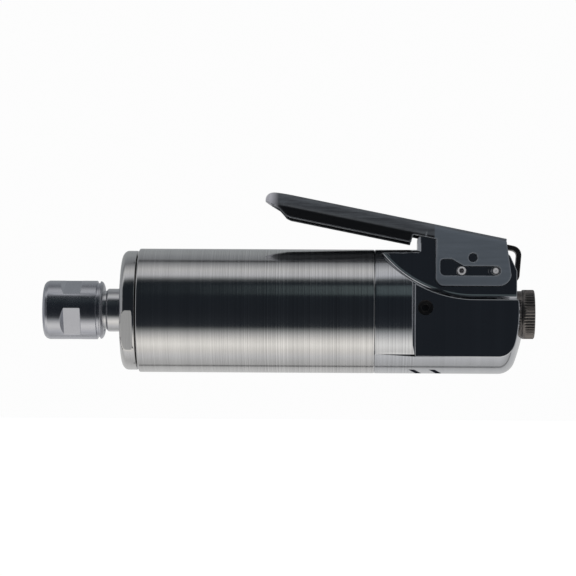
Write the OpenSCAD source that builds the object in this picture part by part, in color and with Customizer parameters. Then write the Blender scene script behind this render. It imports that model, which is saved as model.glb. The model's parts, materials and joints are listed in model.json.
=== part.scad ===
// Pneumatic straight die grinder with a sliding safety lever.
// X runs from the collet to the air inlet, Z points up through the lever, and
// the origin is the centre of the collet's mouth, flush with the nut's face.

/* [Motor housing] */
// Outer radius of the round body
body_r = 22; // [21.8:0.1:22.4]
// Radius of the bore that holds the motor
bore_r = 18.5; // [18.5:0.1:18.7]
// Front end of the housing
house_x0 = 34; // [33.9:0.1:34.1]
// Rear end of the housing, where the backhead starts
house_x1 = 117.5; // [117.3:0.1:117.7]
// Radius of the threaded ends of the bore
thread_r = 20; // [19.8:0.1:20.2]

/* [Front clamp ring] */
// Outer radius of the clamp ring
clamp_r = 21.2; // [20.8:0.1:21.5]
// Front face of the clamp ring
clamp_x0 = 28.1; // [27.9:0.1:28.3]
// Distance from the axis to each wrench flat of the clamp ring
clamp_flat = 19.8; // [19.4:0.1:20.2]
// Turn of the clamp ring's flats about the axis
clamp_turn = 22.7; // [0:0.1:45]

/* [Collet and nut] */
// Radius of the shank that the collet holds
shank_r = 3; // [2.9:0.05:3.1]
// Length of the collet
collet_len = 19.5; // [18:0.5:20]
// Width of the collet's slits
slit_w = 0.7; // [0.5:0.1:0.9]
// Number of slits in the collet
slit_count = 4; // [3:1:6]
// Outer radius of the collet nut
nut_r = 10.45; // [10.2:0.05:10.6]
// Length of the collet nut
nut_len = 21.4; // [21.2:0.1:21.6]
// Width across the nut's wrench flats
nut_flats = 18; // [17.6:0.1:18.4]
// Turn of the nut's flats about the axis
nut_turn = 28.5; // [0:0.5:90]

/* [Spindle and motor] */
// Radius of the spindle where it shows in front of the clamp ring
spindle_r = 7.65; // [7.55:0.05:7.7]
// Radius of the rotor
rotor_r = 12.95; // [12.8:0.05:12.95]
// Number of vanes
vane_count = 5; // [4:1:6]
// Thickness of a vane
vane_t = 1.5; // [1.3:0.1:1.6]
// Radius of the cylinder liner's bore
liner_r = 15; // [15:0.05:15.1]
// Offset of the liner's bore from the spindle axis
liner_off = 1.95; // [1.85:0.05:1.95]
// Front end of the liner
liner_x0 = 52; // [51.9:0.1:52]
// Rear end of the liner
liner_x1 = 98; // [98:0.1:98.1]

/* [Backhead] */
// Distance from the axis to each side flat
flat_y = 15; // [14.5:0.1:15.5]
// Height of the ledge above the side flats
ledge_z = 3.9; // [3.7:0.1:4.1]
// Half width of the web that carries the lever
web_y = 7.4; // [7.3:0.1:7.5]
// Radius of the side pocket's sweep in side view
sweep_r = 42.9; // [42.7:0.1:43.1]
// Radius of the cove between ledge and web
cove_r = 2.6; // [2.4:0.1:2.8]
// Front face of the raised block
block_x0 = 132.8; // [132.6:0.1:133]
// Rear face of the raised block
block_x1 = 167.9; // [167.7:0.1:168.1]
// Radius of the plugged cross drilling in the side
plug_r = 2.7; // [2.5:0.1:2.8]

/* [Lever] */
// Half width of the lever
lever_y = 10; // [9.9:0.1:10.2]
// Sheet thickness of the lever
lever_t = 1.6; // [1.5:0.1:1.6]
// Slope of the lever, nose up
lever_slope = 11.33; // [11.2:0.01:11.5]
// Radius of the lever's shoulders
lever_shoulder = 2.6; // [2.4:0.1:3]
// Depth of the lever's side flanges
flange_h = 8.1; // [7.8:0.1:8.3]
// Height of the two lever pins
pin_z = 14.15; // [14.1:0.05:14.2]
// Place of the front lever pin along the body
pin_front_x = 148.2; // [148.1:0.1:148.3]
// Place of the rear lever pin along the body
pin_rear_x = 160.2; // [160.1:0.1:160.3]
// Radius of the front lever pin
pin_front_r = 1.5; // [1.4:0.05:1.5]
// Radius of the rear lever pin, inside its bushings
pin_rear_r = 1; // [0.9:0.05:1]

/* [Air inlet] */
// Height of the inlet's axis
inlet_z = -0.8; // [-1:0.1:-0.6]
// Wall radius of the inlet's threaded bore
inlet_r = 5.72; // [5.6:0.02:5.8]
// Rear end of the inlet bushing
inlet_x1 = 174; // [173.8:0.1:174.2]
// Radius of the knurled regulator ring
knurl_r = 8.75; // [8.6:0.05:8.9]
// Number of knurl teeth
knurl_count = 50; // [40:1:60]

/* [Hidden] */
$fn = 96;

run = 0.05;                 // running clearance on a radius
slide = 0.02;               // clearance of fitted, fixed pieces on a radius
nut_thread_r = 7.4;         // spindle thread under the collet nut
taper = 8;                  // half angle of the collet's taper
taper_r = 6.1;              // radius of the spindle's taper at its mouth
mouth_x = 5;                // front end of the spindle
front_bearing = [40, 8, 6, 14, 10, 2.2, 8];       // x, width, bore r, outer r, pitch r, ball r, balls
rear_bearing = [101.5, 7, 4, 11, 7.5, 1.9, 8];
plate_x0 = front_bearing[0];                       // front end of the front end plate
plate_x1 = rear_bearing[0] + rear_bearing[1];      // rear end of the rear end plate
gasket_x1 = plate_x1 + 0.7;
sweep_x = 152.9;                                   // where the sweep meets the ledge
sweep_z = ledge_z + sweep_r;
throttle_x = 142;                                  // axis of the throttle valve
throttle_bore = 3.85;
feed_z = 14.5;                                     // height of the drilling that feeds the motor
lever_top = [87.5, 41];                            // a point on the lever's top line
nose_u = 1.5;                                      // centre of the lever's round nose
tuck_u = 50;                                       // where the tucked flanges give way to the cheeks
flange_tuck = 0.7;                                 // how far the flanges stand in under the shoulders
lever_end = 78.2;                                  // rear end of the lever along its slope
slot_h = 1.65;                                     // half height of the cheek slots
spring_bend = [166.2, 20.1];                       // centre of the lever spring's upper bend
spring_y = 3;                                      // half width of the lever spring
spring_t = 1.7;

function arc(cx, cy, r, a0, a1, n = 12) =
    [for (i = [0 : n]) let (a = a0 + (a1 - a0) * i / n) [cx + r * cos(a), cy + r * sin(a)]];

// Radius of the collet's taper at x
function taper_at(x) = taper_r - (x - mouth_x) * tan(taper);

// Revolves a profile of [radius, x] points about the spindle axis
module turned(points) {
    rotate([0, 90, 0]) rotate_extrude() polygon(points);
}

// Solid rod along X
module rod(x0, x1, r) {
    translate([x0, 0, 0]) rotate([0, 90, 0]) cylinder(r = r, h = x1 - x0);
}

// Tube along X
module tube(x0, x1, r_out, r_in) {
    difference() {
        rod(x0, x1, r_out);
        rod(x0 - 1, x1 + 1, r_in);
    }
}

// Plate whose outline lies in the XZ plane, centred on Y
module across(w) {
    rotate([90, 0, 0]) linear_extrude(w, center = true) children();
}

// Both mirror images about the XZ plane
module both_sides() {
    children();
    mirror([0, 1, 0]) children();
}

// Wire coil of separate rings joined by a straight back, standing on Z
module coil(z0, z1, r, wire, turns) {
    pitch = (z1 - z0 - 2 * wire) / (turns - 1);
    for (i = [0 : turns - 1])
        translate([0, 0, z0 + wire + i * pitch]) rotate_extrude() translate([r, 0]) circle(wire, $fn = 24);
    translate([r, 0, z0 + wire]) cylinder(r = 0.7 * wire, h = z1 - z0 - 2 * wire, $fn = 24);
}

// ---- motor housing and front end ----

module motor_housing() color("silver") {
    turned([
        [bore_r, house_x0 + 7], [thread_r, house_x0 + 7], [thread_r, house_x0],
        [body_r - 0.5, house_x0], [body_r, house_x0 + 0.5],
        [body_r, house_x1 - 0.3], [body_r - 0.3, house_x1],
        [thread_r, house_x1], [thread_r, plate_x1], [bore_r, plate_x1]
    ]);
}

module front_clamp_ring() color("silver") {
    flange_x1 = house_x0 - 0.5;
    difference() {
        turned([
            [spindle_r + 0.6, clamp_x0], [clamp_r - 2.1, clamp_x0], [clamp_r - 1.3, clamp_x0 + 0.25],
            [clamp_r - 0.6, clamp_x0 + 0.75], [clamp_r - 0.15, clamp_x0 + 1.4], [clamp_r, clamp_x0 + 2.1],
            [clamp_r, flange_x1], [thread_r - 0.5, flange_x1],
            [thread_r - 0.5, house_x0], [thread_r - slide, house_x0], [thread_r - slide, plate_x0],
            [14, plate_x0], [14, plate_x0 - 0.8], [12, plate_x0 - 0.8], [12, clamp_x0 + 5.4],
            [11, clamp_x0 + 5.4], [11, clamp_x0 + 1.4], [spindle_r + 0.6, clamp_x0 + 1.4]
        ]);
        for (a = [0, 180])
            rotate([clamp_turn + a, 0, 0])
                translate([clamp_x0 - 1, -clamp_r - 5, -20]) cube([5.5, clamp_r + 5 - clamp_flat, 40]);
    }
}

module dust_seal() color("dimgray") {
    x0 = clamp_x0 + 1.4;
    difference() {
        tube(x0, x0 + 4, 11 - slide, spindle_r + run);
        tube(x0 + 2.6, x0 + 5, 10, spindle_r + 1);
    }
}

module wave_washer() color("slategray") {
    tube(plate_x0 - 0.78, plate_x0, 13.8, 12.2);
}

module front_end_plate() color("lightgray") {
    x1 = plate_x0 + front_bearing[1];
    difference() {
        rod(plate_x0, liner_x0, bore_r - slide);
        rod(plate_x0 - 1, x1, front_bearing[3]);
        rod(x1 - 1, liner_x0 + 1, 7);
        dowel_holes();
    }
}

// ---- bearings ----

// Ring between two radii with a ball groove turned into one side
module race(b, r_in, r_out) {
    difference() {
        tube(b[0], b[0] + b[1], r_out, r_in);
        translate([b[0] + b[1] / 2, 0, 0])
            rotate([0, 90, 0]) rotate_extrude() translate([b[4], 0]) circle(b[5] + run, $fn = 48);
    }
}

module balls(b) {
    for (i = [0 : b[6] - 1])
        rotate([360 * i / b[6], 0, 0]) translate([b[0] + b[1] / 2, 0, b[4]]) sphere(b[5], $fn = 48);
}

module front_bearing_outer() color("gainsboro") {
    race(front_bearing, front_bearing[4] + 1.3, front_bearing[3]);
}

module front_bearing_inner() color("gainsboro") {
    race(front_bearing, front_bearing[2], front_bearing[4] - 1.3);
}

module front_bearing_balls() color("white") {
    balls(front_bearing);
}

module front_bearing_cage() color("goldenrod") {
    ball_cage(front_bearing);
}

module rear_bearing_outer() color("gainsboro") {
    race(rear_bearing, rear_bearing[4] + 1.1, rear_bearing[3]);
}

module rear_bearing_inner() color("gainsboro") {
    race(rear_bearing, rear_bearing[2], rear_bearing[4] - 1.1);
}

module rear_bearing_balls() color("white") {
    balls(rear_bearing);
}

module rear_bearing_cage() color("goldenrod") {
    ball_cage(rear_bearing);
}

// Thin ring on the pitch circle with a pocket round each ball
module ball_cage(b) {
    difference() {
        tube(b[0] + 1, b[0] + b[1] - 1, b[4] + 0.5, b[4] - 0.5);
        for (i = [0 : b[6] - 1])
            rotate([360 * i / b[6], 0, 0]) translate([b[0] + b[1] / 2, 0, b[4]])
                sphere(b[5] + run, $fn = 48);
    }
}

// ---- motor ----

module dowel_holes() {
    for (x = [liner_x0, liner_x1])
        translate([0, 0, -15.75]) rod(x - 2.6, x + 2.6, 1.25);
}

module cylinder_liner() color("silver") {
    difference() {
        rod(liner_x0, liner_x1, bore_r - slide);
        translate([0, 0, liner_off]) rod(liner_x0 - 1, liner_x1 + 1, liner_r);
        dowel_holes();
        // exhaust slots, and the flat that leads the air back to the backhead
        for (x = [60, 71, 82])
            translate([x, 12, -4]) cube([8, 8, 3]);
        translate([57, 17.2, -6]) cube([42, 3, 7]);
    }
}

module liner_dowels() color("gainsboro") {
    for (x = [liner_x0, liner_x1])
        translate([0, 0, -15.75]) rod(x - 2.4, x + 2.4, 1.25);
}

module spindle_rotor() color("lightgray") {
    b0 = front_bearing[0];
    b1 = rear_bearing[0];
    bore_x1 = collet_len + 0.6;
    difference() {
        turned([
            [0, mouth_x + 22], [shank_r + 0.4, mouth_x + 20], [shank_r + 0.4, bore_x1],
            [taper_at(bore_x1), bore_x1],
            [taper_r, mouth_x], [nut_thread_r - 0.5, mouth_x], [nut_thread_r, mouth_x + 0.5],
            [nut_thread_r, 21.1], [6.9, 21.3], [6.9, 22.4],
            [spindle_r - 0.3, 22.5], [spindle_r, 23], [spindle_r, 38.5],
            [8, 38.5], [8, b0], [front_bearing[2], b0], [front_bearing[2], b0 + front_bearing[1]],
            [6.5, b0 + front_bearing[1]], [6.5, liner_x0 + 0.1], [rotor_r, liner_x0 + 0.1],
            [rotor_r, liner_x1 - 0.1], [4.6, liner_x1 - 0.1], [4.6, b1], [rear_bearing[2], b1],
            [rear_bearing[2], plate_x1 + 2.3], [rear_bearing[2] - 0.5, plate_x1 + 2.8], [0, plate_x1 + 2.8]
        ]);
        for (i = [0 : vane_count - 1])
            rotate([360 * i / vane_count + 90, 0, 0])
                translate([liner_x0, -(vane_t + 0.1) / 2, 6.8]) cube([liner_x1 - liner_x0, vane_t + 0.1, 8]);
    }
}

module rotor_vanes() color("sienna") {
    for (i = [0 : vane_count - 1])
        rotate([360 * i / vane_count + 90, 0, 0])
            translate([liner_x0 + 0.2, -vane_t / 2, 6.8])
                cube([liner_x1 - liner_x0 - 0.4, vane_t, rotor_r - 6.85]);
}

module rear_end_plate() color("lightgray") {
    difference() {
        rod(liner_x1, plate_x1, bore_r - slide);
        rod(rear_bearing[0], plate_x1 + 1, rear_bearing[3]);
        rod(liner_x1 - 1, rear_bearing[0] + 1, 5);
        dowel_holes();
        // air feed, and the curved groove that leads it to the start of the chamber
        translate([0, 0, feed_z]) rod(liner_x1 - 1, plate_x1 + 1, 2);
        translate([liner_x1 - 1, 0, 0]) rotate([0, 90, 0]) rotate([0, 0, 180])
            rotate_extrude(angle = 130) translate([13.3, 0]) square([2.6, 2.4]);
        // exhaust way past the plate
        translate([liner_x1 - 1, 16.6, -6]) cube([plate_x1 - liner_x1 + 2, 4, 7]);
    }
}

module rotor_lock_nut() color("slategray") {
    difference() {
        tube(plate_x1, plate_x1 + 2, 6.4, rear_bearing[2]);
        for (a = [0 : 90 : 270])
            rotate([a, 0, 0]) translate([plate_x1 - 1, -0.8, 5.4]) cube([4, 1.6, 2]);
    }
}

module backhead_gasket() color("darkolivegreen") {
    difference() {
        tube(plate_x1, gasket_x1, thread_r - 0.2, 11.4);
        translate([0, 0, feed_z]) rod(plate_x1 - 1, gasket_x1 + 1, 2.1);
        translate([plate_x1 - 1, 16.2, -6]) cube([3, 2.6, 7]);
    }
}

// ---- backhead ----

// Region above the side pocket's floor, drawn in the XZ plane, set in by d
module above_ledge(d) {
    translate([sweep_x, sweep_z]) circle(sweep_r - d);
    translate([sweep_x, ledge_z + d]) square([40, 80]);
}

// What is cut away on one side to leave the ledge, the cove and the web
module side_pocket() {
    cove_y = web_y + cove_r;
    translate([0, -cove_y - 20, 0]) across(40) above_ledge(0);
    translate([0, -web_y - 20, 0]) across(40) above_ledge(cove_r);
    translate([sweep_x, -cove_y, sweep_z]) rotate([90, 0, 0])
        rotate_extrude() translate([sweep_r - cove_r, 0]) circle(cove_r);
    translate([0, -cove_y, ledge_z + cove_r]) rod(sweep_x, sweep_x + 40, cove_r);
}

// Pair of slanted louvres at the underside, whose lower ends start at x
module exhaust_port(x) {
    both_sides() translate([0, -4.4, 0]) across(6)
        polygon([[x + 3.05, -21.95], [x + 2.67, -22.77], [x - 6.81, -18.26], [x - 6.43, -17.44]]);
}

module backhead_shell() {
    dome = concat(arc(161.5, body_r - 6, 6, 90, 20), arc(102.4, -5.5, 68.9, 19.5, 12.2));
    turned(concat(
        [[0, gasket_x1], [thread_r - slide, gasket_x1], [thread_r - slide, house_x1],
         [body_r - 0.3, house_x1], [body_r, house_x1 + 0.3]],
        [for (p = dome) [p[1], p[0]]],
        [[0, 169.75]]
    ));
    // raised block under the lever, with its front edges chamfered
    intersection() {
        across(2 * web_y) polygon(concat(
            [[block_x0, 0]], arc(block_x0 + 1, 25.6, 1, 180, 98, 6),
            [[160.5, 23.2], [165.4, 19.8], [block_x1, 14.3], [block_x1, 0]]));
        translate([0, 0, -1]) linear_extrude(40) polygon([
            [block_x0, 1.2 - web_y], [block_x0 + 1.2, -web_y], [block_x1, -web_y],
            [block_x1, web_y], [block_x0 + 1.2, web_y], [block_x0, web_y - 1.2]]);
    }
}

module backhead() color("gray") {
    difference() {
        backhead_shell();
        // side flats with a short run-out
        both_sides() linear_extrude(80, center = true) polygon([
            [130.6, -body_r - 1], [131, -18], [131.8, -flat_y], [180, -flat_y], [180, -body_r - 1]]);
        both_sides() side_pocket();
        // rear of the web
        across(60) polygon([
            [160.5, 23.2], [165.4, 19.8], [block_x1, 14.3], [block_x1, ledge_z],
            [180, ledge_z], [180, 40], [160.5, 40]]);
        // room for the lever spring, over the block and down behind it
        translate([157.8, -spring_y - 0.4, 22.2]) cube([10, 2 * spring_y + 0.8, 5]);
        translate([162.3, -spring_y - 0.4, 9.4]) cube([20, 2 * spring_y + 0.8, 30]);
        // room for the end of the spindle, and the exhaust way round to the underside
        rod(gasket_x1 - 1, gasket_x1 + 3.4, 7.4);
        translate([gasket_x1 - 1, 0, 0]) rotate([0, 90, 0]) rotate([0, 0, -5])
            rotate_extrude(angle = 110) translate([13.4, 0]) square([4, 5]);
        translate([0, 0, -14.5]) rod(gasket_x1 - 1, 137, 4.6);
        exhaust_port(131.2);
        exhaust_port(138.4);
        // throttle valve bore, its feed to the motor and the cross drilling
        translate([throttle_x, 0, -11.5]) cylinder(r = throttle_bore, h = 50);
        translate([0, 0, feed_z]) rod(gasket_x1 - 1, throttle_x, 2);
        translate([135.4, -16, 0.9]) rotate([-90, 0, 0]) cylinder(r = plug_r, h = 16);
        translate([135.4, 0, 0.9]) cylinder(r = 1.6, h = feed_z - 1);
        // inlet bore, its gallery and the drilling to the valve
        translate([0, 0, inlet_z]) {
            rod(150, 158, 5 + slide);
            rod(157, 180, 8.35);
            rod(158.4, 162.4, 9.3);
        }
        translate([0, 0, -9.2]) rod(throttle_x, 161, 1.6);
        lever_pin_hole(pin_front_x, pin_front_r);
        lever_pin_hole(pin_rear_x, pin_rear_r);
    }
}

module lever_pin_hole(x, r) {
    translate([x, -web_y - 6, pin_z]) rotate([-90, 0, 0]) cylinder(r = r, h = 2 * web_y + 12);
}

module exhaust_muffler() color("darkgray") {
    translate([0, 0, -14.5]) tube(114.5, 125.5, 4.6 - slide, 1.6);
}

module passage_plug() color("dimgray") {
    difference() {
        translate([135.4, -flat_y + 2.4, 0.9]) rotate([-90, 0, 0]) cylinder(r = plug_r - slide, h = 4);
        translate([135.4, -flat_y + 1.4, 0.9]) rotate([-90, 0, 0]) cylinder(r = 1.45, h = 3.4, $fn = 6);
    }
}

// ---- collet and nut ----

module collet() color("lightgray") {
    difference() {
        turned([
            [shank_r, 0], [3.9, 0], [4.3, 0.4], [5.7, 3], [5.1, 3.1], [5.1, 4.7],
            [taper_at(mouth_x) - run, 4.8], [taper_at(mouth_x) - run, mouth_x],
            [taper_at(collet_len) - run, collet_len], [shank_r, collet_len]
        ]);
        for (i = [0 : slit_count - 1])
            rotate([360 * i / slit_count + 45, 0, 0])
                translate([-1, -slit_w / 2, 0]) cube([collet_len - 3, slit_w, 10]);
    }
}

module collet_nut() color("slategray") {
    difference() {
        turned([
            [3.96, 0], [nut_r - 1.9, 0], [nut_r - 1.1, 0.25], [nut_r - 0.4, 0.9], [nut_r, 1.9],
            [nut_r, 19], [nut_r - 0.8, 19.1], [nut_r - 0.8, 20], [nut_r - 0.15, 20.1],
            [nut_r - 0.15, 20.3], [nut_r - 0.4, 20.75], [nut_r - 0.9, 21.1], [nut_r - 1.6, nut_len],
            [nut_thread_r + run, nut_len], [nut_thread_r + run, 5.4], [6.9, 4.8],
            [5.2, 4.6], [5.2, 3.3], [5.8, 3.1], [4.38, 0.4]
        ]);
        for (i = [0 : 3])
            rotate([nut_turn + 90 * i, 0, 0]) linear_extrude(20, center = true) polygon([
                [5.4, -nut_r - 1], [7.6, -nut_flats / 2], [13.4, -nut_flats / 2], [13.8, -nut_r - 1]]);
    }
}

// ---- lever, its pins and spring ----

// Cross-section of the lever, open below, set in by d, its flanges tucked in under the shoulders
module lever_section(d, tuck) {
    r = lever_shoulder - d;
    w = lever_y - d;
    translate([-w + tuck, -40]) square([2 * (w - tuck), 40 - d - r]);
    translate([-w + r, -20]) square([2 * (w - r), 20 - d]);
    for (s = [-1, 1])
        translate([s * (w - r), -d - r]) circle(r);
}

// Solid of the lever's outline at depth d: round nose, tucked flanges, then the cheeks
module lever_form(d) {
    translate([nose_u, 0, 0]) rotate([90, 0, 90])
        linear_extrude(tuck_u - nose_u) lever_section(d, flange_tuck);
    translate([tuck_u, 0, 0]) rotate([90, 0, 90]) linear_extrude(80) lever_section(d, 0);
    translate([nose_u, 0, 0]) rotate_extrude() intersection() {
        lever_section(d, flange_tuck);
        translate([0, -40]) square([lever_y, 60]);
    }
}

// Side outline of the lever in its own slope's axes; the cheeks reach down at the rear
module lever_outline() {
    front = [[-12, 2], [-12, -2.9], [-9.7, -3.3], [-2.65, -5.6], [0.1, -7.7], [1.6, -flange_h]];
    rear = [[45.4, -flange_h], [45.4, -5.2], [53.2, -5.2], [60, -4], [lever_end, -1], [lever_end, 2]];
    polygon(concat(front, rear));
}

// Cheek outline in the XZ plane, with the two bottom corners rounded
module cheek_outline() {
    polygon(concat(
        [[139.1, 27.4]], arc(142.1, 11.8, 3, 180, 270), arc(161.3, 13.3, 4.5, 270, 352),
        [[164.2, 23.4], [163.9, 25.4]]));
}

// Slot in each cheek: narrow at the rear, widened in front for the squeezed lever
module cheek_slot() {
    polygon(concat(
        arc(142.35, pin_z, slot_h, 180, 270), arc(pin_rear_x + 0.1, pin_z, slot_h, -90, 90),
        [[149, pin_z + slot_h], [144.7, 18.3]], arc(141.9, 17.1, 1.2, 90, 180)));
}

module throttle_lever() color("darkslategray") {
    difference() {
        intersection() {
            lever_place() difference() {
                lever_form(0);
                lever_form(lever_t);
            }
            union() {
                lever_place() across(60) lever_outline();
                across(60) cheek_outline();
            }
        }
        across(60) cheek_slot();
        translate([152.2, 0, 18.8]) rotate([90, 0, 0]) cylinder(r = 1.55, h = 60, center = true);
    }
}

// Puts the lever's own axes onto its slope
module lever_place() {
    translate([lever_top[0], 0, lever_top[1]]) rotate([0, lever_slope, 0]) children();
}

module front_lever_pin() color("silver") {
    difference() {
        translate([pin_front_x, -lever_y - 0.3, pin_z]) rotate([-90, 0, 0])
            cylinder(r = pin_front_r, h = 2 * lever_y + 0.6);
        translate([pin_front_x, -lever_y - 1, pin_z]) rotate([-90, 0, 0])
            cylinder(r = pin_front_r - 0.75, h = 2 * lever_y + 2);
    }
}

module rear_lever_pin() color("silver") {
    translate([pin_rear_x, -lever_y - 0.2, pin_z]) rotate([-90, 0, 0])
        cylinder(r = pin_rear_r, h = 2 * lever_y + 0.4);
}

// Flanged bushings on the rear pin: they space the cheeks and run in their slots
module pivot_bushings() color("gainsboro") {
    both_sides() translate([pin_rear_x, -web_y - 0.1, pin_z]) rotate([90, 0, 0])
        difference() {
            union() {
                cylinder(r = 2.6, h = lever_y - lever_t - web_y - 0.2);
                cylinder(r = slot_h - 0.05, h = lever_y - web_y - 0.1);
            }
            translate([0, 0, -1]) cylinder(r = pin_rear_r + run, h = 8);
        }
}

module lever_spring() color("dimgray") {
    bend_r = 2.6;
    half = spring_t / 2;
    foot = [166.2, 13.1];
    across(2 * spring_y) polygon(concat(
        arc(spring_bend[0], spring_bend[1], bend_r + half, 90 - lever_slope, -5),
        arc(foot[0], foot[1], 2 + half, -5, -90), [[163.2, foot[1] - 2 - half], [163.2, foot[1] - 2 + half]],
        arc(foot[0], foot[1], 2 - half, -90, -5),
        arc(spring_bend[0], spring_bend[1], bend_r - half, -5, 90 - lever_slope),
        [[158.4, spring_bend[1] + 2.6 * cos(lever_slope) - half + 1.65],
         [158.4, spring_bend[1] + 2.6 * cos(lever_slope) + half + 1.65]]));
}

// ---- throttle valve ----

module throttle_bushing() color("goldenrod") {
    difference() {
        translate([throttle_x, 0, 11.5]) cylinder(r = throttle_bore - slide, h = 13.2);
        translate([throttle_x, 0, 10]) cylinder(r = 2.4, h = 7.5);
        translate([throttle_x, 0, 10]) cylinder(r = 1.3 + run, h = 20);
        translate([throttle_x, 0, 20.2]) cylinder(r = 2.35, h = 1.1);
        translate([0, 0, feed_z]) rod(throttle_x - 6, throttle_x, 1.9);
    }
}

module throttle_pin() color("silver") {
    top = 27.9;
    translate([throttle_x, 0, 12.4]) cylinder(r = 1.3, h = top - 12.4 - 0.5);
    translate([throttle_x, 0, top - 0.5]) cylinder(r1 = 1.3, r2 = 0.8, h = 0.5);
    translate([throttle_x, 0, 9.45]) cylinder(r = 0.9, h = 3);
}

module throttle_pin_seal() color("black") {
    translate([throttle_x, 0, 20.22]) difference() {
        cylinder(r = 2.35, h = 1.06);
        translate([0, 0, -1]) cylinder(r = 1.3 + run, h = 3);
    }
}

module valve_seat() color("goldenrod") {
    translate([throttle_x, 0, 9.45]) difference() {
        cylinder(r = throttle_bore - slide, h = 2.05);
        translate([0, 0, -1]) cylinder(r = 1.9, h = 4);
    }
}

module throttle_valve() color("black") {
    translate([throttle_x, 0, 7]) cylinder(r = 2.9, h = 2.4);
    translate([throttle_x, 0, 4]) cylinder(r = 1.7, h = 3.2);
}

module valve_spring() color("silver") {
    translate([throttle_x, 0, 0]) coil(-11.5, 6.98, 2.35, 0.4, 10);
}

// ---- air inlet ----

module inlet_bushing() color("dimgray") {
    translate([0, 0, inlet_z]) difference() {
        union() {
            rod(150.5, 158, 5);
            rod(157, inlet_x1, 7.4);
        }
        rod(163, inlet_x1 + 1, inlet_r);
        rod(162, 164, 5);
        rod(158.8, 163, 4.2);
        turned([
            [0, inlet_x1 - 0.7], [inlet_r, inlet_x1 - 0.7],
            [inlet_r + 1, inlet_x1 + 0.3], [0, inlet_x1 + 0.3]
        ]);
        for (a = [90, 270])
            rotate([a, 0, 0]) translate([160.4, 0, 0]) cylinder(r = 1.5, h = 10);
        tube(173, 173.6, 9, 7);
    }
}

module inlet_screen() color("goldenrod") {
    translate([0, 0, inlet_z]) difference() {
        rod(162, 162.8, 5 - slide);
        for (y = [-3 : 3], z = [-3 : 3])
            if (y * y + z * z < 13)
                translate([161, y * 1.05, z * 1.05]) rotate([0, 90, 0]) cylinder(r = 0.35, h = 4, $fn = 4);
    }
}

module regulator_ring() color("dimgray") {
    tooth = 0.35;
    translate([0, 0, inlet_z]) difference() {
        turned([
            [7.45, 157.1], [8.3, 157.1], [8.3, 169.85], [knurl_r - 0.5, 169.85], [knurl_r - 0.3, 170.1],
            [knurl_r - 0.3, 171.6], [knurl_r - 0.5, 171.9], [knurl_r, 172.3],
            [knurl_r, 173.7], [knurl_r - 0.6, 174.3], [8.1, 174.3], [8.1, 172.9], [7.45, 172.9]
        ]);
        for (a = [90, 270])
            rotate([a, 0, 0]) translate([160.4, 0, 0]) cylinder(r = 1.5, h = 10);
        for (i = [0 : knurl_count - 1])
            rotate([360 * i / knurl_count, 0, 0]) translate([171.75, 0, knurl_r + 0.12])
                rotate([45, 0, 0]) translate([0, -tooth, -tooth]) cube([4, 2 * tooth, 2 * tooth]);
    }
}

module regulator_snap_ring() color("slategray") {
    translate([0, 0, inlet_z]) difference() {
        tube(173.02, 173.58, 7.95, 7);
        translate([172, -1.2, -12]) cube([3, 2.4, 12]);
    }
}

motor_housing();
backhead();
front_clamp_ring();
dust_seal();
wave_washer();
front_end_plate();
front_bearing_outer();
front_bearing_inner();
front_bearing_balls();
front_bearing_cage();
cylinder_liner();
liner_dowels();
spindle_rotor();
rotor_vanes();
rear_end_plate();
rear_bearing_outer();
rear_bearing_inner();
rear_bearing_balls();
rear_bearing_cage();
rotor_lock_nut();
backhead_gasket();
exhaust_muffler();
collet();
collet_nut();
throttle_lever();
lever_spring();
front_lever_pin();
rear_lever_pin();
pivot_bushings();
throttle_bushing();
throttle_pin();
throttle_pin_seal();
valve_seat();
throttle_valve();
valve_spring();
inlet_bushing();
inlet_screen();
regulator_ring();
regulator_snap_ring();
passage_plug();
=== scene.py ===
import json
import math

import bmesh
import bpy
import numpy as np
from mathutils import Matrix, Vector


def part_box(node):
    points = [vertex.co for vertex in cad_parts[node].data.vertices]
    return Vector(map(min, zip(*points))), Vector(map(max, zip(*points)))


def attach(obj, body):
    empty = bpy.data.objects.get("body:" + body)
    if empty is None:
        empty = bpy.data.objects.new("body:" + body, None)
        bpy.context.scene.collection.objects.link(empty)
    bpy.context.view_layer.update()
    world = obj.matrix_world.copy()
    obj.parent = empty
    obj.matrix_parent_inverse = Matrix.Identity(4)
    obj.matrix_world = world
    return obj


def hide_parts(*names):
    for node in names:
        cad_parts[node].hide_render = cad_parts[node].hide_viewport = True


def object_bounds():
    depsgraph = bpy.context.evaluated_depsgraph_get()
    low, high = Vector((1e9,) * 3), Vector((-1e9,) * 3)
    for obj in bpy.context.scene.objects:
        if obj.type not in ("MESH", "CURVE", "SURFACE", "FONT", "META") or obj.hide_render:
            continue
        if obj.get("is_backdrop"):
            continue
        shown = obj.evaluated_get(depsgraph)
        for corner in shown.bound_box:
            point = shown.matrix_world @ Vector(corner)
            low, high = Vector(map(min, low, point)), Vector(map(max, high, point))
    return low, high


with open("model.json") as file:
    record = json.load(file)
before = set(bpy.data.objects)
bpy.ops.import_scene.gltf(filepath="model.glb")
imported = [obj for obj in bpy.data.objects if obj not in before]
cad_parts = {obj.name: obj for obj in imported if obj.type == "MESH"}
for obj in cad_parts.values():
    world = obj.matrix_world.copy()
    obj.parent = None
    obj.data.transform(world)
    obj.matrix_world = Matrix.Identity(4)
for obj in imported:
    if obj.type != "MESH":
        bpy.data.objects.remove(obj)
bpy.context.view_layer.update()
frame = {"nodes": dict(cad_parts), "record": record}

mm = 0.001
nodes = frame["nodes"]
bodyOf = {n: b for b, ns in frame["record"]["behaviour"]["bodies"].items() for n in ns}
print("frame loaded:", len(nodes), "nodes")


# ---------- small node helpers ----------

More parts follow.
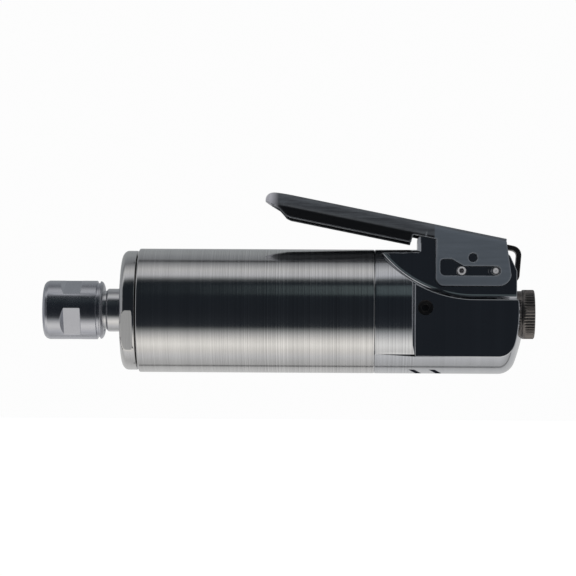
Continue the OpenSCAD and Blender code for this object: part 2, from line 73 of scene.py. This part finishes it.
def startMaterial(name, base, metallic, roughness):
    mat = bpy.data.materials.new(name)
    mat.use_nodes = True
    shader = mat.node_tree.nodes["Principled BSDF"]
    shader.inputs["Base Color"].default_value = (*base, 1)
    shader.inputs["Metallic"].default_value = metallic
    shader.inputs["Roughness"].default_value = roughness
    return mat, shader


def addNode(mat, kind, links=(), **settings):
    # links is a list of (input name or number, socket or plain value)
    node = mat.node_tree.nodes.new(kind)
    for key, value in settings.items():
        setattr(node, key, value)
    for key, source in links:
        if hasattr(source, "is_output"):
            mat.node_tree.links.new(source, node.inputs[key])
        else:
            node.inputs[key].default_value = source
    return node


def calc(mat, operation, *sources):
    return addNode(mat, "ShaderNodeMath", list(enumerate(sources)), operation=operation).outputs[0]


def axes(mat):
    # the object's X, Y and Z in metres
    coord = addNode(mat, "ShaderNodeTexCoord").outputs["Object"]
    split = addNode(mat, "ShaderNodeSeparateXYZ", [(0, coord)])
    return coord, split.outputs[0], split.outputs[1], split.outputs[2]


def ramp(mat, factor, stops, interpolation="LINEAR"):
    node = addNode(mat, "ShaderNodeValToRGB", [(0, factor)])
    band = node.color_ramp
    band.interpolation = interpolation
    while len(band.elements) < len(stops):
        band.elements.new(0.5)
    for element, (place, colour) in zip(band.elements, stops):
        element.position = place
        element.color = colour if len(colour) == 4 else (*colour, 1)
    return node.outputs[0]


def grey(v):
    return (v, v, v, 1)


def noise(mat, vector, scale, detail, roughness, dimensions="3D"):
    key = "W" if dimensions == "1D" else "Vector"
    return addNode(mat, "ShaderNodeTexNoise", [(key, vector), ("Scale", scale), ("Detail", detail),
                   ("Roughness", roughness)], noise_dimensions=dimensions).outputs["Fac"]


def mixColour(mat, factor, a, b):
    node = addNode(mat, "ShaderNodeMix", data_type="RGBA")
    for key, source in ((0, factor), (6, a), (7, b)):
        if hasattr(source, "is_output"):
            mat.node_tree.links.new(source, node.inputs[key])
        else:
            node.inputs[key].default_value = source
    return node.outputs[2]


def span(mat, value, fromLow, fromHigh, toLow, toHigh):
    return addNode(mat, "ShaderNodeMapRange", [(0, value), (1, fromLow), (2, fromHigh),
                   (3, toLow), (4, toHigh)]).outputs[0]


def bump(mat, shader, height, strength, distance):
    node = addNode(mat, "ShaderNodeBump", [("Height", height), ("Strength", strength), ("Distance", distance)])
    mat.node_tree.links.new(node.outputs[0], shader.inputs["Normal"])


def plug(mat, shader, name, socket):
    mat.node_tree.links.new(socket, shader.inputs[name])


# ---------- finishes ----------

grainHeight = 2e-5    # height of every finish's fine relief, in metres


def turnedSteel(name, look):
    # rings round the X axis: regular tool lines, scattered deeper ones and broad tone changes;
    # the lines grow stronger towards the rear and end at the side flats
    mat, shader = startMaterial(name, look["colour"], 1.0, look["roughness"])
    coord, x, y, z = axes(mat)
    fine = noise(mat, x, 1 / look["linePitch"], 2.0, 0.7, "1D")
    wave = calc(mat, "SINE", calc(mat, "MULTIPLY", x, 2 * math.pi / look["linePitch"]))
    lines = calc(mat, "ADD", fine, calc(mat, "MULTIPLY", wave, 0.12))
    strength = calc(mat, "MULTIPLY", span(mat, x, *look["linesGrow"], look["faintest"], 1),
                    span(mat, x, *look["linesEnd"], 1, look["beyond"]))
    lines = calc(mat, "MULTIPLY", calc(mat, "SUBTRACT", lines, 0.5), strength)
    broad = calc(mat, "SUBTRACT", noise(mat, x, look["broadLines"], 3.0, 0.7, "1D"), 0.5)
    cloud = calc(mat, "SUBTRACT", noise(mat, coord, look["clouds"], 3.0, 0.6), 0.5)
    tone = calc(mat, "ADD", calc(mat, "MULTIPLY", lines, 1.4), calc(mat, "MULTIPLY", broad, 0.5))
    tone = calc(mat, "ADD", tone, calc(mat, "MULTIPLY", cloud, 0.25))
    low = tuple(v * (1 - look["contrast"]) for v in look["colour"]) + (1,)
    high = tuple(min(1, v * (1 + look["contrast"])) for v in look["colour"]) + (1,)
    plug(mat, shader, "Base Color", mixColour(mat, span(mat, tone, -0.4, 0.4, 0, 1), low, high))
    rough = look["roughness"]
    plug(mat, shader, "Roughness", span(mat, tone, -0.4, 0.4, rough * 0.7, rough * 1.35))
    bump(mat, shader, calc(mat, "ADD", lines, calc(mat, "MULTIPLY", broad, 0.3)), look["bump"], grainHeight)
    return mat


def castSteel(name, base, rough, depth=0.25, contrast=0.1, metallic=1.0, edgeWearAndGlint=0.8):
    # plain machined or blackened steel: fine grain, soft clouds and brighter edges, partly worn and partly a painted
    # edge highlight
    mat, shader = startMaterial(name, base, metallic, rough)
    coord, x, y, z = axes(mat)
    cloud = noise(mat, coord, 120, 4.0, 0.6)
    fine = noise(mat, coord, 2700, 3.0, 0.6)
    tone = calc(mat, "ADD", calc(mat, "MULTIPLY", cloud, 0.7), calc(mat, "MULTIPLY", fine, 0.3))
    low = tuple(v * (1 - contrast) for v in base) + (1,)
    high = tuple(min(1, v * (1 + contrast)) for v in base) + (1,)
    plain = mixColour(mat, span(mat, tone, 0.35, 0.65, 0, 1), low, high)
    # edge colour: part real edge wear, part painted highlight where rounded edges catch the light
    lighterTone = tuple(min(1, v * 1.5 + 0.1) for v in base) + (1,)
    plug(mat, shader, "Base Color", mixColour(mat, edgeMask(mat, edgeWearAndGlint), plain, lighterTone))
    plug(mat, shader, "Roughness", span(mat, tone, 0.35, 0.65, rough * 0.85, rough * 1.2))
    bump(mat, shader, fine, depth, grainHeight)
    return mat


def blackedSteel(name, look):
    # blackened sheet steel: streaks along its length, satin where the cheeks are rubbed, a near-black painted shade
    # on the flanges below the crease, a pale painted highlight at the nose, and lighter edges that are part wear,
    # part painted highlight
    mat, shader = startMaterial(name, look["black"], look["metallic"], look["roughness"])
    coord, x, y, z = axes(mat)
    slope = math.radians(look["slope"])
    stretched = addNode(mat, "ShaderNodeMapping", [("Vector", coord), ("Rotation", (0, slope, 0)),
                        ("Scale", (60, 500, 900))]).outputs[0]
    streak = noise(mat, stretched, 1.0, 4.0, 0.65)
    speck = noise(mat, coord, 2400, 2.0, 0.6)
    tone = calc(mat, "ADD", calc(mat, "MULTIPLY", streak, 0.8), calc(mat, "MULTIPLY", speck, 0.2))
    side = calc(mat, "ABSOLUTE", addNode(mat, "ShaderNodeSeparateXYZ",
                [(0, addNode(mat, "ShaderNodeNewGeometry").outputs["Normal"])]).outputs[1])
    # depth below the lever's top line, measured square to its slope
    alongX = calc(mat, "MULTIPLY", calc(mat, "SUBTRACT", x, look["topLine"][0]), -math.sin(slope))
    alongZ = calc(mat, "MULTIPLY", calc(mat, "SUBTRACT", look["topLine"][1], z), math.cos(slope))
    depth = calc(mat, "ADD", alongX, alongZ)
    # the flange below the crease is painted near-black on its side faces: painted shade for its shadow and its dark
    # reflection
    flankShade = calc(mat, "MULTIPLY", span(mat, depth, *look["flankFrom"], 0, 1),
                 span(mat, side, *look["sideFacing"], 0, 1))
    cheek = calc(mat, "MULTIPLY", span(mat, x, *look["cheekFrom"], 0, 1),
                 span(mat, side, *look["sideFacing"], look["cheekOnTop"], 1))
    # the lever's front end is painted pale: a painted highlight where the rounded nose catches the light
    nose = span(mat, calc(mat, "ADD", x, calc(mat, "MULTIPLY", streak, 0.002)), *look["noseTo"], 1, 0)
    lighterTone = mixColour(mat, span(mat, tone, 0.3, 0.7, 0, 1), look["noseLow"] + (1,), look["nose"] + (1,))
    black = mixColour(mat, span(mat, tone, 0.35, 0.65, 0, 1), look["blackLow"] + (1,), look["black"] + (1,))
    black = mixColour(mat, flankShade, black, look["flankShadeBlack"] + (1,))
    satin = mixColour(mat, span(mat, tone, 0.3, 0.7, 0, 1), look["satinLow"] + (1,), look["satin"] + (1,))
    plain = mixColour(mat, nose, mixColour(mat, cheek, black, satin), lighterTone)
    # sharp edges are painted lighter: partly worn bare metal, partly a painted edge highlight
    plug(mat, shader, "Base Color", mixColour(mat, edgeMask(mat, 1.0, 0.0008), plain, look["bareAndGlint"] + (1,)))
    rough = look["roughness"]
    plug(mat, shader, "Roughness", span(mat, tone, 0.3, 0.7, rough * 0.75, rough * 1.25))
    bump(mat, shader, speck, 0.2, grainHeight)
    return mat


def edgeMask(mat, most=0.8, radius=0.0004):
    # 1 on sharp edges: where the rounded normal leaves the true one
    round_ = addNode(mat, "ShaderNodeBevel", [("Radius", radius)], samples=4).outputs[0]
    true_ = addNode(mat, "ShaderNodeNewGeometry").outputs["Normal"]
    dot = addNode(mat, "ShaderNodeVectorMath", [(0, round_), (1, true_)], operation="DOT_PRODUCT")
    return span(mat, dot.outputs["Value"], 0.985, 0.8, 0, most)


turnedLook = {
    "colour": (0.67, 0.665, 0.66), "roughness": 0.13, "contrast": 0.22, "bump": 0.4,
    "linePitch": 0.0005, "linesGrow": (0.05, 0.085), "faintest": 0.3, "linesEnd": (0.1305, 0.132), "beyond": 0.12,
    "broadLines": 160, "clouds": 90,
}
leverLook = {
    # the darkest black is a painted shade for the flanges below the crease
    "black": (0.13, 0.145, 0.165), "blackLow": (0.05, 0.055, 0.065), "flankShadeBlack": (0.008, 0.009, 0.012),
    "satin": (0.155, 0.185, 0.225), "satinLow": (0.125, 0.15, 0.18),
    # the edge grey is part worn bare metal, part painted highlight
    # the pale nose colours are a painted highlight at the nose
    "nose": (0.8, 0.8, 0.88), "noseLow": (0.55, 0.55, 0.6), "bareAndGlint": (0.42, 0.45, 0.49),
    "metallic": 0.1, "roughness": 0.38, "slope": 11.33, "topLine": (0.0875, 0.041),
    "flankFrom": (0.004, 0.0046), "sideFacing": (0.7, 0.9), "cheekFrom": (0.1385, 0.1388), "cheekOnTop": 0.35,
    "noseTo": (0.0815, 0.0845),
}
materials = {
    "polished_steel": turnedSteel("polishedSteel", turnedLook),
    "backhead_steel": turnedSteel("backheadSteel", {**turnedLook, "colour": (0.62, 0.63, 0.65), "contrast": 0.16}),
    "nut_steel": castSteel("nutSteel", (0.56, 0.57, 0.61), 0.24, contrast=0.06, edgeWearAndGlint=0.3),
    "bright_steel": castSteel("brightSteel", (0.68, 0.68, 0.69), 0.2, contrast=0.06),
    "dark_steel": castSteel("darkSteel", (0.2, 0.185, 0.175), 0.36),
    "lever_steel": blackedSteel("leverSteel", leverLook),
    "brass": castSteel("brass", (0.72, 0.55, 0.28), 0.3),
    "rubber": castSteel("rubber", (0.02, 0.02, 0.02), 0.7, metallic=0.0),
    "vane_fibre": castSteel("vaneFibre", (0.25, 0.12, 0.05), 0.65, metallic=0.0),
    "gasket_paper": castSteel("gasketPaper", (0.14, 0.18, 0.11), 0.8, metallic=0.0),
    "cage_plastic": castSteel("cagePlastic", (0.6, 0.5, 0.25), 0.5, metallic=0.0),
    "felt": castSteel("felt", (0.4, 0.4, 0.38), 0.95, metallic=0.0, depth=0.8),
}
slotOf = {s["node"]: s["material_slot"] for s in frame["record"]["subparts"]}
for name, obj in nodes.items():
    obj.data.materials.clear()
    obj.data.materials.append(materials[slotOf[name]])
print("materials made")


# ---------- meshes ----------

def finishPiece(obj, nodeName, finish=None):
    obj.data.materials.append(finish or materials[slotOf[nodeName]])
    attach(obj, bodyOf[nodeName])
    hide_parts(nodeName)
    return obj


sharpZones = {
    # node: boxes in mm, low and high corner, whose edges stay sharp: bores, drillings, louvres, narrow steps
    "backhead": [((110, -14.6, -14.6), (170, 14.6, 3.7)), ((110, -30, -30), (146, 30, -15)),
                 ((132, -16, -2.5), (139, -14, 4.5)), ((110, -5, 3), (170, 5, 17))],
    "throttle_lever": [((132, -12, 20), (138.9, 12, 45)), ((162.8, -12, 18), (168, 12, 30))],
}


def machinedCopy(name, nodeName, edge, segments, angle=14):
    # the CAD solid with its flat faces joined, its outer edges broken and smooth shading on its curves
    mesh = nodes[nodeName].data.copy()
    mesh.name = name
    mesh.materials.clear()
    work = bmesh.new()
    work.from_mesh(mesh)
    bmesh.ops.remove_doubles(work, verts=work.verts, dist=1e-6)
    bmesh.ops.dissolve_limit(work, angle_limit=math.radians(0.3), verts=work.verts, edges=work.edges)
    for face in work.faces:
        face.smooth = True
    weight = work.edges.layers.float.new("bevel_weight_edge")
    for e in work.edges:
        e.smooth = not (len(e.link_faces) == 2 and e.calc_face_angle(0) > math.radians(angle))
        middle = (e.verts[0].co + e.verts[1].co) / 2 / mm
        kept = any(all(low[i] < middle[i] < high[i] for i in range(3))
                   for low, high in sharpZones.get(nodeName, []))
        e[weight] = 0.0 if e.smooth or kept else 1.0
    work.to_mesh(mesh)
    work.free()
    obj = bpy.data.objects.new(name, mesh)
    bpy.context.scene.collection.objects.link(obj)
    bevel = obj.modifiers.new("edgeBreak", "BEVEL")
    bevel.limit_method = "WEIGHT"
    bevel.width = edge * mm
    bevel.segments = segments
    bevel.use_clamp_overlap = False
    bevel.loop_slide = False
    bevel.harden_normals = True
    bevel.miter_outer = "MITER_ARC"
    return finishPiece(obj, nodeName)


shownNodes = {
    # node: (piece, broken edge in mm, steps across that edge)
    "backhead": ("rearCasting", 0.35, 2), "throttle_lever": ("safetyLever", 0.25, 3),
    "front_clamp_ring": ("clampRing", 0.3, 2), "collet_nut": ("colletNut", 0.15, 2), "collet": ("collet", 0.1, 2),
    "spindle_rotor": ("spindle", 0.15, 2), "pivot_bushings": ("pivotBushings", 0.15, 2),
    "inlet_bushing": ("inletBushing", 0.15, 2), "passage_plug": ("passagePlug", 0.08, 2),
    "throttle_pin": ("throttlePin", 0.1, 2), "regulator_snap_ring": ("snapRing", 0.08, 2),
}
for nodeName, (pieceName, edge, steps) in shownNodes.items():
    machinedCopy(pieceName, nodeName, edge, steps)
print("machined pieces made")


def gridPiece(name, nodeName, grid, endsClosed=False, finish=None):
    # grid is points[across, along, xyz], closed across, and closed along too unless its ends shrink to a point;
    # the surface is turned round if the volume that it encloses comes out negative
    across, along = grid.shape[:2]
    last = along - 1 if endsClosed else along
    a, b = np.meshgrid(np.arange(across), np.arange(last), indexing="ij")
    a2, b2 = (a + 1) % across, (b + 1) % along
    quads = np.stack([a * along + b, a2 * along + b, a2 * along + b2, a * along + b2], -1).reshape(-1, 4)
    points = grid.reshape(-1, 3)
    p0, p1, p2, p3 = points[quads].transpose(1, 0, 2)
    volume = (p0 * np.cross(p1, p2)).sum() + (p0 * np.cross(p2, p3)).sum()
    if volume < 0:
        quads = quads[:, ::-1]
    mesh = bpy.data.meshes.new(name)
    mesh.from_pydata(points, [], quads)
    work = bmesh.new()
    work.from_mesh(mesh)
    bmesh.ops.remove_doubles(work, verts=work.verts, dist=1e-7)
    work.to_mesh(mesh)
    work.free()
    mesh.polygons.foreach_set("use_smooth", np.ones(len(mesh.polygons), bool))
    obj = bpy.data.objects.new(name, mesh)
    bpy.context.scene.collection.objects.link(obj)
    return finishPiece(obj, nodeName, finish)


cornerGap = 0.04    # mm between a corner of an outline and the close points beside it


def denser(outline, step, soft):
    # a closed outline resampled: points at most step apart, with a close pair beside every corner
    parts = []
    for start, end in zip(outline, np.roll(outline, -1, 0)):
        length = np.linalg.norm(end - start)
        near = min(soft / length, 0.3)
        inner = np.linspace(near, 1 - near, max(2, int(length / step) + 1))
        parts.append(start + (end - start) * np.concatenate([[0], inner])[:, None])
    return np.concatenate(parts)


def turnedGrid(outline, turns, height=0.0, cut=None):
    # each outline point (x, radius) goes round the X axis: y = radius cos(turn), z = height + radius sin(turn);
    # cut(x, radius, turn) gives how much less the radius is there
    turn = np.linspace(0, 2 * np.pi, turns, endpoint=False)[:, None]
    x, radius = outline[:, 0][None], outline[:, 1][None]
    if cut is not None:
        radius = radius - cut(x, radius, turn)
    radius = np.broadcast_to(radius, (turns, x.shape[1]))
    x = np.broadcast_to(x, radius.shape)
    return np.stack([x, radius * np.cos(turn), height + radius * np.sin(turn)], -1) * mm


def roundedCorner(x, radius, edge, facing):
    # a quarter circle at an outer corner, in the order of rising x: facing -1 at a front end, 1 at a rear end
    turn = np.radians(np.linspace(0, 90, 6))
    points = np.stack([x - facing * edge * (1 - np.sin(turn)), radius - edge * (1 - np.cos(turn))], 1)
    return points if facing > 0 else points[::-1]


# motor tube: bored, threaded seats at both ends left plain, outer edges rounded
tubeSizes = {
    "bore": 18.5, "seat": 20.0, "frontSeat": 7.0, "rearSeat": 9.0, "edges": (0.5, 0.35), "turns": 192, "step": 2.5,
}
tubeLow, tubeHigh = (np.array(v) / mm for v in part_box("motor_housing"))
front, rear, outer = tubeLow[0], tubeHigh[0], tubeHigh[2]
seatFront, seatRear = front + tubeSizes["frontSeat"], rear - tubeSizes["rearSeat"]
bore, seat = tubeSizes["bore"], tubeSizes["seat"]
outline = np.concatenate([
    [[seatFront, bore], [seatFront, seat], [front, seat]],
    roundedCorner(front, outer, tubeSizes["edges"][0], -1), roundedCorner(rear, outer, tubeSizes["edges"][1], 1),
    [[rear, seat], [seatRear, seat], [seatRear, bore]]])
gridPiece("motorTube", "motor_housing", turnedGrid(denser(outline, tubeSizes["step"], cornerGap), tubeSizes["turns"]))
print("motor tube turned")

# regulator ring: a skirt in the bore and a drum with straight knurling, its edges rounded
ringSizes = {
    "skirtFront": 157.1, "bore": 7.45, "skirt": 8.3, "drumFront": 169.85, "lip": 8.1, "lipFront": 172.9,
    "teeth": 50, "depth": 0.34, "edges": (0.4, 0.55), "turns": 500, "step": 0.35,
}
ringLow, ringHigh = (np.array(v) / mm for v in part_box("regulator_ring"))
ringRadius, ringHeight = (ringHigh[2] - ringLow[2]) / 2, (ringHigh[2] + ringLow[2]) / 2
ringBore, skirt, lip = ringSizes["bore"], ringSizes["skirt"], ringSizes["lip"]
drumFront, drumRear, lipFront = ringSizes["drumFront"], ringHigh[0], ringSizes["lipFront"]
outline = np.concatenate([
    [[ringSizes["skirtFront"], ringBore], [ringSizes["skirtFront"], skirt], [drumFront, skirt]],
    roundedCorner(drumFront, ringRadius, ringSizes["edges"][0], -1),
    roundedCorner(drumRear, ringRadius, ringSizes["edges"][1], 1),
    [[drumRear, lip], [lipFront, lip], [lipFront, ringBore]]])


def knurl(x, radius, turn):
    # V-shaped grooves along X: depth times how far the turn is from the nearest crest, fading at both edges
    fromCrest = np.abs((turn * ringSizes["teeth"] / (2 * np.pi)) % 1 - 0.5) * 2
    onDrum = np.clip((radius - skirt - 0.02) / 0.1, 0, 1)
    inside = np.clip((x - drumFront - 0.5) / 0.8, 0, 1) * np.clip((drumRear + 0.1 - x) / 0.5, 0, 1)
    return ringSizes["depth"] * (1 - fromCrest) * onDrum * inside


gridPiece("knurledRing", "regulator_ring",
          turnedGrid(denser(outline, ringSizes["step"], cornerGap), ringSizes["turns"], ringHeight, knurl))
print("knurled ring turned")


# lever pins: drilled blind at both ends, with a rounded rim; the rear one is solid with a small centre dimple
pinSizes = {
    # node: (piece, radius of the end drilling, its depth, rounding of the rim) in mm
    "front_lever_pin": ("frontPin", 0.9, 5.0, 0.22), "rear_lever_pin": ("rearPin", 0.3, 0.3, 0.3),
}
pinSteel = castSteel("pinSteel", (0.8, 0.8, 0.82), 0.38, contrast=0.08, metallic=0.25, edgeWearAndGlint=0.3)
for nodeName, (pieceName, hole, deep, rim) in pinSizes.items():
    low, high = (np.array(v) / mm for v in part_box(nodeName))
    radius, midX, midZ = (high[2] - low[2]) / 2, (high[0] + low[0]) / 2, (high[2] + low[2]) / 2
    half = np.concatenate([[[high[1] - deep - hole * 0.6, 0], [high[1] - deep, hole], [high[1], hole]],
                           roundedCorner(high[1], radius, rim, 1)[::-1]])
    outline = np.concatenate([half, half[::-1] * [-1, 1] + [low[1] + high[1], 0]])
    grid = turnedGrid(denser(outline, 0.6, 0.03)[:-1], 48)
    grid = np.stack([midX * mm + grid[..., 1], grid[..., 0], midZ * mm + grid[..., 2]], -1)
    gridPiece(pieceName, nodeName, grid, finish=pinSteel)
print("pins turned")


def stripAlong(path, halfWidth, halfThick, edge):
    # a rounded rectangle carried along a path in the XZ plane: place = path + normal * thickness + Y * width,
    # and the section shrinks to the path's own point at both ends
    step = np.gradient(path, axis=0)
    step /= np.linalg.norm(step, axis=1)[:, None]
    normal = np.stack([-step[:, 1], step[:, 0]], 1)
    turn = np.linspace(0, 2 * np.pi, 32, endpoint=False) + np.pi / 32
    wide = np.sign(np.cos(turn)) * (halfWidth - edge) + edge * np.cos(turn)
    thick = np.sign(np.sin(turn)) * (halfThick - edge) + edge * np.sin(turn)
    size = np.ones(len(path))
    size[[0, -1]] = 0
    size[[1, -2]] = 0.85
    place = path[None] + normal[None] * (thick[:, None] * size)[..., None]
    return np.stack([place[..., 0], wide[:, None] * size, place[..., 1]], -1) * mm


def arcPoints(x, z, radius, start, end, count=14):
    turn = np.radians(np.linspace(start, end, count))
    return np.stack([x + radius * np.cos(turn), z + radius * np.sin(turn)], 1)


# lever spring: a strip from under the lever's rear end, round its bend and down into the slot behind the block
springSizes = {
    # centre and radius of both bends, in X and Z
    "bend": (166.2, 20.1, 2.6), "foot": (166.2, 13.1, 2.0), "slope": 11.33, "front": 158.4, "rise": 1.65,
    "footEnd": 163.2, "halfWidth": 3.0, "halfThick": 0.85, "edge": 0.3,
}
bend, foot = springSizes["bend"], springSizes["foot"]
topEnd = bend[1] + bend[2] * math.cos(math.radians(springSizes["slope"])) + springSizes["rise"]
upper = arcPoints(*bend, 90 - springSizes["slope"], -5)
lead = np.linspace([springSizes["front"], topEnd], upper[0], 10)[:-1]
lower = arcPoints(*foot, -5, -90)
down = np.linspace(upper[-1], lower[0], 8)[1:-1]
tail = np.linspace(lower[-1], [springSizes["footEnd"], foot[1] - foot[2]], 5)[1:]
path = np.concatenate([lead[:1], lead[:1] + (lead[1:2] - lead[:1]) * 0.05, lead[1:], upper, down, lower, tail,
                       tail[-1:] + (tail[-1:] - tail[-2:-1]) * 0.001])
strip = stripAlong(path, springSizes["halfWidth"], springSizes["halfThick"], springSizes["edge"])
gridPiece("leverSpring", "lever_spring", strip, endsClosed=True)
print("lever spring bent")


# ---------- studio ----------

studio = {
    "cameraPlace": (0.1088, -0.923, -0.0321),
    "cameraTarget": (0.0868, 0.0, 0.0082),
    "lens": 162.0,
    "roll": 0.34,
    "floor": -0.06,
    "bandShift": 4.0,
    "background": 0.98,
    "softLow": 0.42,
    "softHigh": 0.62,
    # angle above the horizon on the near side, and the light seen there, all turned up by the shift
    "bands": [
        (-180, .60, .60, .60), (-150, .62, .62, .62), (-122, .50, .50, .50), (-112, .56, .56, .56),
        (-100, .66, .66, .67), (-85, .80, .78, .75), (-72, .98, .96, .92), (-62, .84, .82, .79),
        (-50, .50, .50, .50), (-42, .22, .23, .23), (-36, .022, .026, .032), (-10, .016, .019, .024),
        (48, .014, .018, .023), (53, .06, .065, .07), (58, .30, .31, .32), (63, .58, .585, .61),
        (76, .60, .60, .60), (88, .36, .365, .375), (96, .20, .205, .215), (112, .27, .28, .295),
        (128, .33, .345, .355), (150, .32, .335, .345), (180, .45, .455, .465)],
    # thin dark lines: angle, half width, how dark, and the sideways reach over which they fade in
    "darkLines": [(99.5, 4.5, 0.95), (-131, 4.5, 0.95)],
    "lineReach": (-0.1, -0.085),
    # a weak side strip that only the rear half of the tube shows
    "strip": {"low": 22, "high": 45, "light": (.10, .125, .13), "reach": (-0.03, 0.0)},
    # surfaces that face forward or backward see a plain wall
    "wall": {"reach": (0.72, 0.9), "light": (.34, .35, .37)},
}


def lookFrom(place, target, roll):
    back = (Vector(place) - Vector(target)).normalized()
    turn = back.to_track_quat("Z", "Y").to_matrix().to_4x4()
    return Matrix.Translation(place) @ turn @ Matrix.Rotation(math.radians(roll), 4, "Z")


camera = bpy.data.objects.new("camera", bpy.data.cameras.new("camera"))
bpy.context.scene.collection.objects.link(camera)
camera.data.lens = studio["lens"]
camera.data.sensor_width = 36
camera.data.clip_end = 20
camera.matrix_world = lookFrom(studio["cameraPlace"], studio["cameraTarget"], studio["roll"])
bpy.context.scene.camera = camera

world = bpy.data.worlds.new("studio")
world.use_nodes = True
bpy.context.scene.world = world
surface = world.node_tree.nodes["Background"]
direction = addNode(world, "ShaderNodeTexCoord").outputs["Generated"]
parts = addNode(world, "ShaderNodeSeparateXYZ", [(0, direction)])
near = calc(world, "MULTIPLY", parts.outputs[1], -1.0)
angle = calc(world, "MULTIPLY", calc(world, "ARCTAN2", parts.outputs[2], near), 180 / math.pi)
angle = calc(world, "SUBTRACT", angle, studio["bandShift"])
light = ramp(world, span(world, angle, -180, 180, 0, 1),
             [((a + 180) / 360, (r, g, b, 1)) for a, r, g, b in studio["bands"]])
sideways = parts.outputs[0]
reach = span(world, sideways, *studio["lineReach"], 0, 1)
for middle, half, dark in studio["darkLines"]:
    away = calc(world, "ABSOLUTE", calc(world, "SUBTRACT", angle, middle))
    shade = calc(world, "MULTIPLY", span(world, away, 0, half, dark, 0), reach)
    light = mixColour(world, shade, light, (0, 0, 0, 1))
strip = studio["strip"]
middle, half = (strip["low"] + strip["high"]) / 2, (strip["high"] - strip["low"]) / 2
away = calc(world, "ABSOLUTE", calc(world, "SUBTRACT", angle, middle))
glow = calc(world, "MULTIPLY", span(world, away, half * 0.6, half, 1, 0),
            span(world, sideways, *strip["reach"], 0, 1))
light = mixColour(world, glow, light, strip["light"] + (1,))
wall = studio["wall"]
atWall = span(world, calc(world, "ABSOLUTE", sideways), *wall["reach"], 0, 1)
light = mixColour(world, atWall, light, wall["light"] + (1,))
# matt surfaces see soft light, stronger from above, and the camera a white background
rays = addNode(world, "ShaderNodeLightPath").outputs
soft = ramp(world, span(world, parts.outputs[2], -1, 1, 0, 1),
            [(0, grey(studio["softLow"])), (1, grey(studio["softHigh"]))])
light = mixColour(world, rays["Is Diffuse Ray"], light, soft)
light = mixColour(world, rays["Is Camera Ray"], light, grey(studio["background"]))
world.node_tree.links.new(light, surface.inputs[0])
surface.inputs[1].default_value = 1.0

floorMesh = bpy.data.meshes.new("floor")
half, depth = 3.0, studio["floor"]
corners = [(-half, -half, depth), (half, -half, depth), (half, half, depth), (-half, half, depth)]
floorMesh.from_pydata(corners, [], [(0, 1, 2, 3)])
floor = bpy.data.objects.new("floor", floorMesh)
bpy.context.scene.collection.objects.link(floor)
floorMat, floorShader = startMaterial("paleFloor", (0.3, 0.3, 0.3), 0.0, 0.6)
floorShader.inputs["Emission Color"].default_value = (1, 1, 1, 1)
floorShader.inputs["Emission Strength"].default_value = 0.85
floor.data.materials.append(floorMat)
floor.visible_glossy = False
floor.visible_diffuse = False
floor.visible_shadow = False
floor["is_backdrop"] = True
bpy.context.scene.view_settings.view_transform = "Standard"
bpy.context.scene.view_settings.look = "None"
print("studio made")

low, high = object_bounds()
